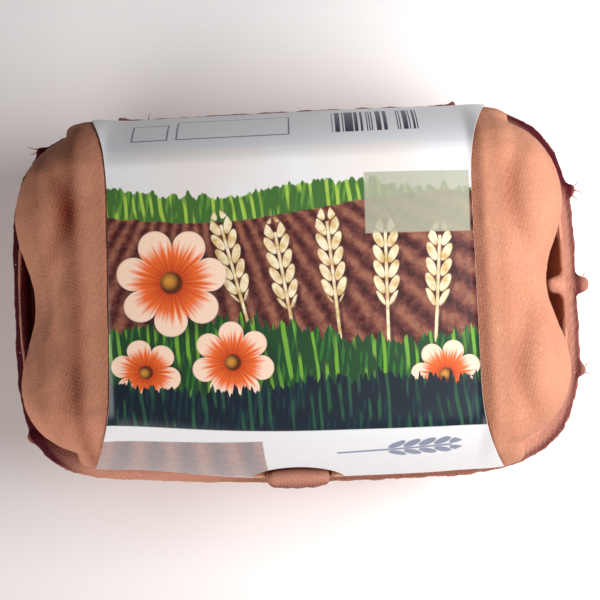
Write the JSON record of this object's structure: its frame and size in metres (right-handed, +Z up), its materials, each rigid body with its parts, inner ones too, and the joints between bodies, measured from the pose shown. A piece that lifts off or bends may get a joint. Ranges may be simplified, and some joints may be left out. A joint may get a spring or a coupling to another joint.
{
  "type": "egg carton",
  "caption": "Shut moulded-pulp egg carton with a cupped tray, a domed two-lobed lid, a front lock tongue and a wrapped paper label.",
  "frame": {"origin": "under the middle of the carton's outer box, on the surface that the cups stand on", "axes": "+X along the carton to the end with the rib, +Y from the lock to the hinge, +Z up"},
  "size_m": [0.1528, 0.0998, 0.0705],
  "materials": {
    "tray_pulp": "matte moulded pulp, dyed terracotta",
    "lid_pulp": "matte moulded pulp, dyed terracotta",
    "label_paper": "printed coated paper with a slight sheen"
  },
  "bodies": {
    "root": {"tray": "tray_pulp", "lid": "lid_pulp", "label": "label_paper"}
  },
  "joints": []
}
